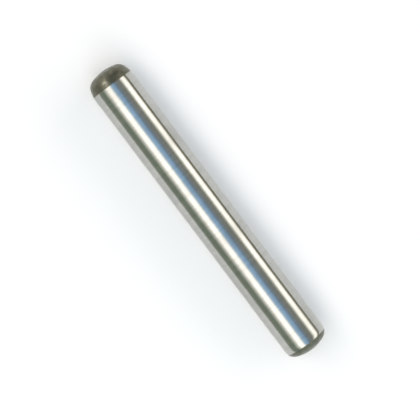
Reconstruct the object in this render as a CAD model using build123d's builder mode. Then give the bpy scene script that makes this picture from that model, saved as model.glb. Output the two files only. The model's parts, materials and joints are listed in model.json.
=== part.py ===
from build123d import *

import os
from math import radians, sqrt, tan

# A hardened and ground dowel pin, turned from one bar of steel. It lies along X on the plane
# Z = 0, with the middle of its length over the origin and its lead towards +X. The ground body is
# a straight cylinder, and both ends are crowned. The lead is a short steep cone that finds the
# hole. Both ends are left as hardened, so the grinding stops at the lead's heel and on the plain
# end's corner.

# Driving dimensions, in millimetres and degrees
pin_diameter = 6.0
pin_length = 45.0
lead_length = 2.1  # along the axis, from the lead's heel to the very tip
lead_angle = 15.0  # between the lead's side and the axis
lead_crown_radius = 6.2
lead_corner_radius = 1.5  # rounds the edge between the lead and its crown
heel_radius = 5.5  # softens the edge between the ground body and the lead
plain_crown_radius = 5.4
plain_corner_radius = 1.4  # rounds the edge between the ground body and the plain end's crown

# A short lead has no room for the full roundings. The corner's may take this share of its side,
# and the heel's may take this share of what the corner's leaves.
corner_share = 0.6
heel_share = 0.9

pin_radius = pin_diameter / 2
plain_crown_height = plain_crown_radius - sqrt(plain_crown_radius**2 - pin_radius**2)

# The outline is drawn with the pin's axis along the sketch's first direction, from the plain end,
# and the distance out from the axis along its second. The lead's side runs from its heel down a
# slope until it meets the crown. The crown is part of a ball, whose middle lies on the axis.
# From the heel, that middle is so far down the slope (a negative length) and so far in from it.
heel = Vector(pin_length - lead_length, pin_radius)
down_the_lead = Vector(1, 0).rotate(Axis.Z, -lead_angle)
to_middle = Vector(pin_length - lead_crown_radius, 0) - heel
middle_down = to_middle.dot(down_the_lead)
middle_in = sqrt(to_middle.length**2 - middle_down**2)


def flat_before_corner(radius):
    """The length of the lead's side, from its heel to where a corner of this radius starts."""
    return middle_down + sqrt((lead_crown_radius - radius) ** 2 - (middle_in - radius) ** 2)


def corner_after_flat(flat):
    """The radius of the corner that starts this far down the lead's side."""
    room = lead_crown_radius**2 - middle_in**2 - (flat - middle_down) ** 2
    return room / (2 * (lead_crown_radius - middle_in))


lead_side = flat_before_corner(0)
rim = heel + down_the_lead * lead_side
corner_rounding = min(lead_corner_radius, corner_after_flat((1 - corner_share) * lead_side))
heel_reach = heel_share * flat_before_corner(corner_rounding)
heel_rounding = min(heel_radius, heel_reach / tan(radians(lead_angle) / 2))

# The pin: half of its outline, rounded at its three corners and turned about the axis
plain_end = (-pin_length / 2, 0, pin_radius)
with BuildPart() as dowel_pin:
    with BuildSketch(Plane(plain_end, x_dir=(1, 0, 0), z_dir=(0, -1, 0))) as half_outline:
        with BuildLine():
            plain_crown = RadiusArc((0, 0), (plain_crown_height, pin_radius), plain_crown_radius)
            Line(plain_crown @ 1, heel)
            Line(heel, rim)
            lead_crown = RadiusArc(rim, (pin_length, 0), lead_crown_radius)
            Line(lead_crown @ 1, plain_crown @ 0)
        make_face()
        roundings = {
            plain_crown @ 1: plain_corner_radius,
            heel: heel_rounding,
            rim: corner_rounding,
        }
        for corner, radius in roundings.items():
            fillet(half_outline.vertices().sort_by_distance(corner)[0], radius)
    revolve(axis=Axis(plain_end, (1, 0, 0)))

os.makedirs("parts", exist_ok=True)
dowel_pin.part.label = "dowel_pin"
export_step(dowel_pin.part, "parts/dowel_pin.step")
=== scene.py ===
import json
from math import atan2, cos, degrees, pi, radians, sin, sqrt, tan

import bmesh
import bpy
from mathutils import Matrix, Vector


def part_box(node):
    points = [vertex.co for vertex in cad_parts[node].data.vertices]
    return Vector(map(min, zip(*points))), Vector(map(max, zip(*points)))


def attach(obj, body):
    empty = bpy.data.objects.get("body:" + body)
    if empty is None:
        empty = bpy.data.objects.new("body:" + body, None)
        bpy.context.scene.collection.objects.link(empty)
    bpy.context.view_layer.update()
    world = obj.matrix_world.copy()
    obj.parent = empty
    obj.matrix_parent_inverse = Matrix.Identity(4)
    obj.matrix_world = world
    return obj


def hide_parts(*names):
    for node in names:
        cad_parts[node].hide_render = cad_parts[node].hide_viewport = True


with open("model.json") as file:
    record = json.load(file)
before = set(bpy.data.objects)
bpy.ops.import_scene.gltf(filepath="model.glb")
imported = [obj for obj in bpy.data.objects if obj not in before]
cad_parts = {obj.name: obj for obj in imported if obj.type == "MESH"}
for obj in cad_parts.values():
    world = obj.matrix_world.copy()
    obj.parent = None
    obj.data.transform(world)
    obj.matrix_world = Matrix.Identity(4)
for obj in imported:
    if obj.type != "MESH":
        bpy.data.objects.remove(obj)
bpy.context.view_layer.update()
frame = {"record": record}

# A hardened and ground dowel pin lying on a pale table. Lengths are in metres. The pin lies along
# X, its lead towards +X. Angles across it are tilts from straight up, positive towards +Y.

MM = 0.001
PIN = "dowel_pin"
low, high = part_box(PIN)
ground_body = frame["record"]["mounts"][0]
RADIUS = ground_body["dims"]["r_mm"] * MM
AXIS_HEIGHT = ground_body["pos_m"][2]
TABLE_TOP = AXIS_HEIGHT - RADIUS
PLAIN_TIP = low.x
LEAD_TIP = high.x

# The ends
LEAD_LENGTH = 2.1 * MM
LEAD_ANGLE = radians(15)
LEAD_CROWN_RADIUS = 6.2 * MM
LEAD_CORNER_RADIUS = 1.5 * MM
HEEL_RADIUS = 5.5 * MM
PLAIN_CROWN_RADIUS = 5.4 * MM
PLAIN_CORNER_RADIUS = 1.4 * MM

# How finely the pin is turned
SEGMENTS = 288
STEPS_PER_DEGREE = 0.5
BODY_RING_SPACING = 1.0 * MM
MERGE_DISTANCE = 0.001 * MM  # closes the mesh at both tips

# The ground steel. The grain of a pattern is how many per metre it has along X, Y and Z.
GROUND_STEEL = (0.49, 0.485, 0.46)
SMUDGED_STEEL = (0.40, 0.40, 0.375)
LAY_SHADE = (0.43, 0.43, 0.405)
LINE_GRAIN = (9000, 160, 160)
BAND_GRAIN = (2600, 90, 90)
SMUDGE_GRAIN = (170, 330, 330)
BAND_RANGE = (0.38, 0.66)
SMUDGE_RANGE = (0.42, 0.72)
GROUND_ROUGHNESS = 0.11
SMUDGE_ROUGHNESS = 0.05  # added where the steel is smudged
LINE_ROUGHNESS = 0.04  # added along the grinding lines
LINE_RELIEF = 0.55  # as a share of the skin's relief
RELIEF_HEIGHT = 0.006 * MM
RELIEF_STRENGTH = 0.5

# The dark skin. On the lead it starts at the heel, and on the plain end it reaches this far from
# the tip.
PLAIN_SKIN_LENGTH = 1.27 * MM
LEAD_SKIN = (0.112, 0.109, 0.078)
LEAD_SKIN_WORN = (0.175, 0.169, 0.120)
# The plain end's skin is greener than the lead's: its own dark colour with a painted green
# reflection on top.
PLAIN_SKIN_WITH_GREEN_REFLECTION = (0.114, 0.125, 0.094)
PLAIN_SKIN_WORN_WITH_GREEN_REFLECTION = (0.170, 0.178, 0.137)
SKIN_METALLIC = 0.75
SKIN_ROUGHNESS = (0.37, 0.27)  # fresh and worn
MOTTLE_GRAIN = (1500, 1500, 1500)
MOTTLE_COLOUR_RANGE = (0.35, 0.75)
MOTTLE_ROUGHNESS_RANGE = (0.3, 0.8)
SKIN_EDGE_GRAIN = (900, 900, 900)
SKIN_EDGE_WANDER = 0.10 * MM
SKIN_EDGE_BLUR = 0.03 * MM

# Where the skin is rubbed: small rubs all over it. One lighter spot on top of the lead is a
# painted highlight, put where the lead catches the light.
# This lighter colour serves both the small rubs, which are wear, and the painted highlight spot on
# the lead.
RUB_AND_HIGHLIGHT_COLOUR = (0.30, 0.295, 0.23)
SMALL_RUB_GRAIN = (2600, 2600, 2600)
SMALL_RUB_RANGE = (0.60, 0.78)
SMALL_RUB_STRENGTH = 0.4
HIGHLIGHT_SPOT_PLACE = Vector((LEAD_TIP - 1.55 * MM, 0.75 * MM, AXIS_HEIGHT + RADIUS - 0.25 * MM))
HIGHLIGHT_SPOT_RADIUS = 0.50 * MM
HIGHLIGHT_SPOT_CORE_RADIUS = 0.15 * MM
HIGHLIGHT_SPOT_BREAKS_RANGE = (0.42, 0.56)

# The camera looks down on the pin, with the lead's end leaning a little towards it
CAMERA_LEAN = radians(3.5)
PIN_SLOPE = radians(53.0)  # the pin's own direction, measured down from level in the view
CAMERA_DISTANCE = 263.3 * MM
CAMERA_LENS = 174.8  # this and the sensor's width are in millimetres, as Blender wants them
SENSOR_WIDTH = 36
CLIP_START = 0.01
CLIP_END = 5
AIM_RIGHT = 0.32 * MM  # the view's middle lies this far right of the pin's middle
AIM_UP = 0.13 * MM

# The table and the world
TABLE_HALF = 1.2
TABLE_COLOUR = (0.90, 0.89, 0.88)
TABLE_LIFT = 0.15  # added to what the eye, metal and glass see of the table, never to its light
TABLE_ROUGHNESS = 0.9
WORLD_COLOUR = (1, 1, 1)
WORLD_STRENGTH = 1.0

# The studio: a half tunnel of cards over the pin, parallel to it, on the table
TUNNEL_RADIUS = 0.5
TUNNEL_LENGTH = 1.4
TUNNEL_STRIPS = 180
WHITE = (1.0, 0.965, 0.92)
# Each row is a tilt in degrees, and the colour and the strength of the card there
CARDS = [
    (-90, (0.86, 0.84, 0.58), 0.26),
    (-82, (0.86, 0.84, 0.58), 0.26),
    (-76, (1.0, 0.98, 0.82), 0.83),
    (-71, WHITE, 2.41),
    (-55, WHITE, 2.41),
    (-48, (1.0, 1.0, 0.88), 1.05),
    (-41, (0.90, 0.96, 0.86), 0.38),
    (-30, (0.90, 0.95, 0.90), 0.41),
    (-20, (0.80, 0.93, 1.0), 0.42),
    (-12, (0.48, 0.72, 1.0), 0.63),
    (-4, (0.43, 0.67, 1.0), 1.09),
    (5, (0.46, 0.70, 1.0), 1.13),
    (11, (0.62, 0.83, 1.0), 1.24),
    (15, (0.94, 0.97, 1.0), 1.65),
    (20, WHITE, 2.41),
    (35, WHITE, 2.41),
    (44, (1.0, 0.98, 0.92), 1.28),
    (53, (0.92, 1.0, 0.88), 0.63),
    (61, (0.82, 1.0, 0.78), 0.35),
    (76, (0.84, 1.0, 0.80), 0.35),
    (86, (0.90, 1.0, 0.86), 0.47),
    (90, (0.94, 1.0, 0.90), 0.53),
]
# Past this far towards the lead's end, the cards below the first tilt are no brighter than the
# first strength, and the cards above the second tilt are no darker than the second
SHORT_CARDS_END = 0.17
SHORT_CARDS_FADE = 0.05
SHORT_CARDS_TILT = 14
SHORT_CARDS_STRENGTH = 0.26
SPREAD_TILT = 30
SPREAD_STRENGTH = 0.71


# The outline of the pin


def arc(centre, radius, first, last):
    """Points (along, out) on an arc, between two tilts of its normal from straight out."""
    steps = max(2, round(degrees(last - first) * STEPS_PER_DEGREE))
    tilts = [first + (last - first) * step / steps for step in range(steps + 1)]
    return [(centre[0] + radius * sin(tilt), centre[1] + radius * cos(tilt)) for tilt in tilts]


def plain_end():
    """The plain end's crown and its corner, up to the ground body."""
    crown_centre = PLAIN_TIP + PLAIN_CROWN_RADIUS
    corner_out = RADIUS - PLAIN_CORNER_RADIUS
    between = PLAIN_CROWN_RADIUS - PLAIN_CORNER_RADIUS
    corner_centre = crown_centre - sqrt(between**2 - corner_out**2)
    meeting = -atan2(crown_centre - corner_centre, corner_out)
    crown = arc((crown_centre, 0), PLAIN_CROWN_RADIUS, -pi / 2, meeting)
    corner = arc((corner_centre, corner_out), PLAIN_CORNER_RADIUS, meeting, 0)
    return crown[:-1] + corner


def lead_end():
    """The heel's rounding, the lead's side, its corner and its crown."""
    heel = Vector((LEAD_TIP - LEAD_LENGTH, RADIUS))
    outward = Vector((sin(LEAD_ANGLE), cos(LEAD_ANGLE)))
    down_the_lead = Vector((cos(LEAD_ANGLE), -sin(LEAD_ANGLE)))
    crown_centre = Vector((LEAD_TIP - LEAD_CROWN_RADIUS, 0))
    middle_down = (crown_centre - heel).dot(down_the_lead)
    middle_in = -(crown_centre - heel).dot(outward)
    between = LEAD_CROWN_RADIUS - LEAD_CORNER_RADIUS
    flat = middle_down + sqrt(between**2 - (middle_in - LEAD_CORNER_RADIUS) ** 2)
    corner_centre = heel + flat * down_the_lead - LEAD_CORNER_RADIUS * outward
    heel_centre = (heel.x - HEEL_RADIUS * tan(LEAD_ANGLE / 2), RADIUS - HEEL_RADIUS)
    meeting = atan2(corner_centre.x - crown_centre.x, corner_centre.y)
    rounding = arc(heel_centre, HEEL_RADIUS, 0, LEAD_ANGLE)
    corner = arc(corner_centre, LEAD_CORNER_RADIUS, LEAD_ANGLE, meeting)
    crown = arc(crown_centre, LEAD_CROWN_RADIUS, meeting, pi / 2)
    return rounding + corner + crown[1:]


def pin_outline():
    """Half of the pin's outline, from the plain tip to the lead's tip."""
    start, finish = plain_end(), lead_end()
    first, last = start[-1][0], finish[0][0]
    rings = round((last - first) / BODY_RING_SPACING)
    body = [(first + (last - first) * ring / rings, RADIUS) for ring in range(1, rings)]
    return start + body + finish


# Working with nodes


def link(tree, source, target):
    """Joins two sockets."""
    tree.links.new(source, target)


def add(tree, kind, **settings):
    """A new node with these settings."""
    made = tree.nodes.new(kind)
    for name, value in settings.items():
        setattr(made, name, value)
    return made


def fill(tree, socket, value):
    """Links a socket to another, or sets it to a number or a colour."""
    if isinstance(value, bpy.types.NodeSocket):
        link(tree, value, socket)
    elif isinstance(value, tuple):
        socket.default_value = (*value, 1)
    else:
        socket.default_value = value


def math_node(tree, operation, first, second, clamp=False):
    """The result of one sum on two values or sockets."""
    made = add(tree, "ShaderNodeMath", operation=operation, use_clamp=clamp)
    fill(tree, made.inputs[0], first)
    fill(tree, made.inputs[1], second)
    return made.outputs["Value"]


def noise(tree, place, grain, detail, roughness=0.5):
    """Noise with this grain."""
    mapping = add(tree, "ShaderNodeMapping")
    mapping.inputs["Scale"].default_value = grain
    link(tree, place, mapping.inputs["Vector"])
    made = add(tree, "ShaderNodeTexNoise")
    made.inputs["Scale"].default_value = 1.0
    made.inputs["Detail"].default_value = detail
    made.inputs["Roughness"].default_value = roughness
    link(tree, mapping.outputs["Vector"], made.inputs["Vector"])
    return made.outputs["Fac"]


def ramp_between(tree, value, limits, results=(0.0, 1.0)):
    """A smooth change from one result to the other as the value goes from limit to limit."""
    made = add(tree, "ShaderNodeMapRange", interpolation_type="SMOOTHSTEP")
    made.inputs["From Min"].default_value = limits[0]
    made.inputs["From Max"].default_value = limits[1]
    made.inputs["To Min"].default_value = results[0]
    made.inputs["To Max"].default_value = results[1]
    link(tree, value, made.inputs["Value"])
    return made.outputs["Result"]


def mix_colours(tree, share, first, second):
    """A mix of two colours or colour sockets. The node's colours are its inputs 6 and 7."""
    made = add(tree, "ShaderNodeMix", data_type="RGBA")
    link(tree, share, made.inputs["Factor"])
    fill(tree, made.inputs[6], first)
    fill(tree, made.inputs[7], second)
    return made.outputs[2]


def mix_values(tree, share, first, second):
    """A mix of two values or value sockets. The node's values are its inputs 2 and 3."""
    made = add(tree, "ShaderNodeMix", data_type="FLOAT")
    link(tree, share, made.inputs["Factor"])
    fill(tree, made.inputs[2], first)
    fill(tree, made.inputs[3], second)
    return made.outputs[0]


# Turning the pin


def turning_tree():
    """A tree that turns a chain of points along the pin's axis into the pin."""
    tree = bpy.data.node_groups.new("turn_the_pin", "GeometryNodeTree")
    sockets = tree.interface
    sockets.new_socket("Chain", in_out="INPUT", socket_type="NodeSocketGeometry")
    sockets.new_socket("Segments", in_out="INPUT", socket_type="NodeSocketInt")
    sockets.new_socket("Merge distance", in_out="INPUT", socket_type="NodeSocketFloat")
    sockets.new_socket("Steel", in_out="INPUT", socket_type="NodeSocketMaterial")
    sockets.new_socket("Pin", in_out="OUTPUT", socket_type="NodeSocketGeometry")
    given = add(tree, "NodeGroupInput")
    spine = add(tree, "GeometryNodeMeshToCurve")
    out = add(tree, "GeometryNodeInputNamedAttribute", data_type="FLOAT")
    out.inputs["Name"].default_value = "out"
    ring = add(tree, "GeometryNodeCurvePrimitiveCircle", mode="RADIUS")
    ring.inputs["Radius"].default_value = 1.0
    turned = add(tree, "GeometryNodeCurveToMesh")
    closed = add(tree, "GeometryNodeMergeByDistance")
    smooth = add(tree, "GeometryNodeSetShadeSmooth")
    real = add(tree, "GeometryNodeRealizeInstances")
    finish = add(tree, "GeometryNodeSetMaterial")
    result = add(tree, "NodeGroupOutput")
    link(tree, given.outputs["Chain"], spine.inputs["Mesh"])
    link(tree, given.outputs["Segments"], ring.inputs["Resolution"])
    link(tree, spine.outputs["Curve"], turned.inputs["Curve"])
    link(tree, ring.outputs["Curve"], turned.inputs["Profile Curve"])
    link(tree, out.outputs["Attribute"], turned.inputs["Scale"])
    link(tree, turned.outputs["Mesh"], closed.inputs["Geometry"])
    link(tree, given.outputs["Merge distance"], closed.inputs["Distance"])
    link(tree, closed.outputs["Geometry"], smooth.inputs["Geometry"])
    link(tree, smooth.outputs["Geometry"], real.inputs["Geometry"])
    link(tree, real.outputs["Geometry"], finish.inputs["Geometry"])
    link(tree, given.outputs["Steel"], finish.inputs["Material"])
    link(tree, finish.outputs["Geometry"], result.inputs["Pin"])
    return tree


def chain_of_points(outline):
    """The outline's points along the axis, each keeping its distance out from the axis."""
    chain = bpy.data.meshes.new("pin_chain")
    points = [(along, 0, AXIS_HEIGHT) for along, _ in outline]
    edges = [(index, index + 1) for index in range(len(points) - 1)]
    chain.from_pydata(points, edges, [])
    out = chain.attributes.new("out", "FLOAT", "POINT")
    for index, (_, distance) in enumerate(outline):
        out.data[index].value = max(distance, 0)
    return chain


def outward_faces(mesh):
    """Turns the faces outwards and keeps them smooth."""
    made = bmesh.new()
    made.from_mesh(mesh)
    bmesh.ops.recalc_face_normals(made, faces=made.faces)
    if made.calc_volume(signed=True) < 0:
        bmesh.ops.reverse_faces(made, faces=made.faces)
    for face in made.faces:
        face.smooth = True
    made.to_mesh(mesh)
    made.free()


def turn_pin(steel):
    """The whole pin as one closed mesh."""
    blank = bpy.data.objects.new("pin_blank", chain_of_points(pin_outline()))
    bpy.context.scene.collection.objects.link(blank)
    turning = blank.modifiers.new("turning", "NODES")
    turning.node_group = turning_tree()
    values = {"Segments": SEGMENTS, "Merge distance": MERGE_DISTANCE, "Steel": steel}
    for socket in turning.node_group.interface.items_tree:
        if socket.name in values:
            turning[socket.identifier] = values[socket.name]
    bpy.context.view_layer.update()
    evaluated = blank.evaluated_get(bpy.context.evaluated_depsgraph_get())
    mesh = bpy.data.meshes.new_from_object(evaluated)
    bpy.data.objects.remove(blank)
    mesh.name = "ground_dowel_pin"
    outward_faces(mesh)
    pin = bpy.data.objects.new("ground_dowel_pin", mesh)
    bpy.context.scene.collection.objects.link(pin)
    return pin


# The finish of the steel


def skin_masks(tree, place):
    """One on the dark skin of the lead and of the plain end, with a wandering edge."""
    parts = add(tree, "ShaderNodeSeparateXYZ")
    link(tree, place, parts.inputs["Vector"])
    wander = math_node(tree, "SUBTRACT", noise(tree, place, SKIN_EDGE_GRAIN, detail=3), 0.5)
    shift = math_node(tree, "MULTIPLY", wander, SKIN_EDGE_WANDER)
    moved = math_node(tree, "ADD", parts.outputs["X"], shift)
    lead_edge = LEAD_TIP - LEAD_LENGTH
    plain_edge = PLAIN_TIP + PLAIN_SKIN_LENGTH
    blur = SKIN_EDGE_BLUR
    lead = ramp_between(tree, moved, (lead_edge - blur, lead_edge + blur))
    plain = ramp_between(tree, moved, (plain_edge + blur, plain_edge - blur))
    return lead, plain


def painted_highlight_spot(tree, place, mottle):
    """A painted highlight on the lead: a small lighter spot where it catches the light, broken up
    by the mottle.
    """
    apart = add(tree, "ShaderNodeVectorMath", operation="DISTANCE")
    apart.inputs[1].default_value = HIGHLIGHT_SPOT_PLACE
    link(tree, place, apart.inputs[0])
    near = ramp_between(tree, apart.outputs["Value"], (HIGHLIGHT_SPOT_RADIUS, HIGHLIGHT_SPOT_CORE_RADIUS))
    return math_node(tree, "MULTIPLY", near, ramp_between(tree, mottle, HIGHLIGHT_SPOT_BREAKS_RANGE))


def ground_finish(tree, place):
    """The ground steel's colour, roughness and relief: lines round the pin, and faint smudges."""
    lines = noise(tree, place, LINE_GRAIN, detail=3, roughness=0.6)
    bands = noise(tree, place, BAND_GRAIN, detail=4, roughness=0.7)
    smudges = ramp_between(tree, noise(tree, place, SMUDGE_GRAIN, detail=3), SMUDGE_RANGE)
    colour = mix_colours(tree, ramp_between(tree, bands, BAND_RANGE), GROUND_STEEL, LAY_SHADE)
    colour = mix_colours(tree, smudges, colour, SMUDGED_STEEL)
    smudged = math_node(tree, "MULTIPLY", smudges, SMUDGE_ROUGHNESS)
    roughness = math_node(tree, "ADD", smudged, GROUND_ROUGHNESS)
    lined = math_node(tree, "MULTIPLY", lines, LINE_ROUGHNESS)
    roughness = math_node(tree, "ADD", roughness, lined)
    return colour, roughness, math_node(tree, "MULTIPLY", lines, LINE_RELIEF)


def skin_finish(tree, place, plain_skin):
    """The dark skin's colour, roughness and relief: mottled, with rubbed places and one painted
    highlight spot on the lead.
    """
    mottle = noise(tree, place, MOTTLE_GRAIN, detail=4, roughness=0.6)
    # Towards the plain end the skin turns greener, a painted green reflection.
    fresh = mix_colours(tree, plain_skin, LEAD_SKIN, PLAIN_SKIN_WITH_GREEN_REFLECTION)
    worn = mix_colours(tree, plain_skin, LEAD_SKIN_WORN, PLAIN_SKIN_WORN_WITH_GREEN_REFLECTION)
    colour = mix_colours(tree, ramp_between(tree, mottle, MOTTLE_COLOUR_RANGE), fresh, worn)
    rubs = ramp_between(tree, noise(tree, place, SMALL_RUB_GRAIN, detail=2), SMALL_RUB_RANGE)
    rubs = math_node(tree, "MULTIPLY", rubs, SMALL_RUB_STRENGTH)
    # The small rubs are wear; the spot on the lead is a painted highlight in the same lighter
    # colour.
    rubs_and_highlight = math_node(tree, "MAXIMUM", rubs, painted_highlight_spot(tree, place, mottle))
    colour = mix_colours(tree, rubs_and_highlight, colour, RUB_AND_HIGHLIGHT_COLOUR)
    roughness = ramp_between(tree, mottle, MOTTLE_ROUGHNESS_RANGE, SKIN_ROUGHNESS)
    return colour, roughness, mottle


def hardened_steel():
    """Bright ground steel on the body, and the dark satin skin of hardening on both ends, with a
    painted highlight on the lead and a painted green reflection on the plain end's skin.
    """
    made = bpy.data.materials.new("hardened_ground_steel")
    made.use_nodes = True
    tree = made.node_tree
    shader = tree.nodes["Principled BSDF"]
    place = add(tree, "ShaderNodeTexCoord").outputs["Object"]
    lead_skin, plain_skin = skin_masks(tree, place)
    skin = math_node(tree, "ADD", lead_skin, plain_skin, clamp=True)
    ground_colour, ground_roughness, ground_relief = ground_finish(tree, place)
    skin_colour, skin_roughness, skin_relief = skin_finish(tree, place, plain_skin)
    colour = mix_colours(tree, skin, ground_colour, skin_colour)
    roughness = mix_values(tree, skin, ground_roughness, skin_roughness)
    bump = add(tree, "ShaderNodeBump")
    bump.inputs["Strength"].default_value = RELIEF_STRENGTH
    bump.inputs["Distance"].default_value = RELIEF_HEIGHT
    link(tree, mix_values(tree, skin, ground_relief, skin_relief), bump.inputs["Height"])
    link(tree, colour, shader.inputs["Base Color"])
    link(tree, roughness, shader.inputs["Roughness"])
    link(tree, mix_values(tree, skin, 1.0, SKIN_METALLIC), shader.inputs["Metallic"])
    link(tree, bump.outputs["Normal"], shader.inputs["Normal"])
    return made


# The studio


def card_at(tilt, along):
    """The light that the cards give at this tilt, in degrees, and this far along the pin."""
    for (first, colour_a, strength_a), (last, colour_b, strength_b) in zip(CARDS, CARDS[1:]):
        if first <= tilt <= last:
            share = (tilt - first) / (last - first)
            pairs = zip(colour_a, colour_b)
            light = [a * strength_a * (1 - share) + b * strength_b * share for a, b in pairs]
            if along > SHORT_CARDS_END and tilt < SHORT_CARDS_TILT:
                light = [min(part, SHORT_CARDS_STRENGTH) for part in light]
            if along > SHORT_CARDS_END and tilt > SPREAD_TILT:
                light = [max(part, SPREAD_STRENGTH) for part in light]
            return light
    raise ValueError("no card at this tilt")


def card_light():
    """A material that glows with the colour painted on the cards."""
    made = bpy.data.materials.new("card_light")
    made.use_nodes = True
    tree = made.node_tree
    tree.nodes.clear()
    painted = add(tree, "ShaderNodeAttribute", attribute_name="glow")
    glow = add(tree, "ShaderNodeEmission")
    result = add(tree, "ShaderNodeOutputMaterial")
    link(tree, painted.outputs["Color"], glow.inputs["Color"])
    link(tree, glow.outputs["Emission"], result.inputs["Surface"])
    return made


def make_tunnel():
    """The half tunnel of cards. It lights the pin and shows in it, but not to the camera."""
    half = TUNNEL_LENGTH / 2
    columns = (-half, SHORT_CARDS_END, SHORT_CARDS_END + SHORT_CARDS_FADE, half)
    tilts = [-90 + 180 * step / TUNNEL_STRIPS for step in range(TUNNEL_STRIPS + 1)]
    points, glows = [], []
    for tilt in tilts:
        y, z = TUNNEL_RADIUS * sin(radians(tilt)), TUNNEL_RADIUS * cos(radians(tilt))
        points += [(x, y, z) for x in columns]
        glows += [card_at(tilt, x) for x in columns]
    row = len(columns)
    corners = [strip * row + column for strip in range(TUNNEL_STRIPS) for column in range(row - 1)]
    faces = [(first, first + 1, first + row + 1, first + row) for first in corners]
    mesh = bpy.data.meshes.new("cards")
    mesh.from_pydata(points, [], faces)
    paint = mesh.color_attributes.new("glow", "FLOAT_COLOR", "POINT")
    for index, glow in enumerate(glows):
        paint.data[index].color = (*glow, 1)
    mesh.materials.append(card_light())
    cards = bpy.data.objects.new("cards", mesh)
    bpy.context.scene.collection.objects.link(cards)
    cards.visible_camera = False


def table_white():
    """Pale matt board. What the eye, metal and glass see of it is lifted to white."""
    made = bpy.data.materials.new("table_white")
    made.use_nodes = True
    tree = made.node_tree
    shader = tree.nodes["Principled BSDF"]
    shader.inputs["Base Color"].default_value = (*TABLE_COLOUR, 1)
    shader.inputs["Roughness"].default_value = TABLE_ROUGHNESS
    shader.inputs["Specular IOR Level"].default_value = 0.0
    rays = add(tree, "ShaderNodeLightPath")
    seen = math_node(tree, "ADD", rays.outputs["Is Camera Ray"], rays.outputs["Is Glossy Ray"])
    seen = math_node(tree, "ADD", seen, rays.outputs["Is Transmission Ray"], clamp=True)
    lift = math_node(tree, "MULTIPLY", seen, TABLE_LIFT)
    link(tree, lift, shader.inputs["Emission Strength"])
    return made


def make_table():
    """The table that the pin lies on."""
    half = TABLE_HALF
    mesh = bpy.data.meshes.new("table")
    sides = ((-half, -half), (half, -half), (half, half), (-half, half))
    mesh.from_pydata([(x, y, TABLE_TOP) for x, y in sides], [], [(0, 1, 2, 3)])
    mesh.materials.append(table_white())
    table = bpy.data.objects.new("table", mesh)
    bpy.context.scene.collection.objects.link(table)


def make_world():
    """A white room, which reaches the table past the tunnel's ends."""
    world = bpy.data.worlds.new("studio")
    world.use_nodes = True
    background = world.node_tree.nodes["Background"]
    background.inputs["Color"].default_value = (*WORLD_COLOUR, 1)
    background.inputs["Strength"].default_value = WORLD_STRENGTH
    bpy.context.scene.world = world


def make_camera():
    """The camera above the pin."""
    back = Vector((sin(CAMERA_LEAN), 0, cos(CAMERA_LEAN)))
    along = Vector((cos(CAMERA_LEAN), 0, -sin(CAMERA_LEAN)))
    across = Vector((0, 1, 0))
    right = -cos(PIN_SLOPE) * along - sin(PIN_SLOPE) * across
    up = sin(PIN_SLOPE) * along - cos(PIN_SLOPE) * across
    middle = Vector(((PLAIN_TIP + LEAD_TIP) / 2, 0, AXIS_HEIGHT))
    aim = middle + right * AIM_RIGHT + up * AIM_UP
    lens = bpy.data.cameras.new("camera")
    lens.lens = CAMERA_LENS
    lens.sensor_width = SENSOR_WIDTH
    lens.clip_start = CLIP_START
    lens.clip_end = CLIP_END
    camera = bpy.data.objects.new("camera", lens)
    turned = Matrix((right, up, back)).transposed().to_4x4()
    camera.matrix_world = Matrix.Translation(aim + back * CAMERA_DISTANCE) @ turned
    bpy.context.scene.collection.objects.link(camera)
    bpy.context.scene.camera = camera


make_camera()
make_world()
make_table()
make_tunnel()
bpy.context.scene.view_settings.view_transform = "Standard"

pin = turn_pin(hardened_steel())
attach(pin, "root")
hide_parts(PIN)
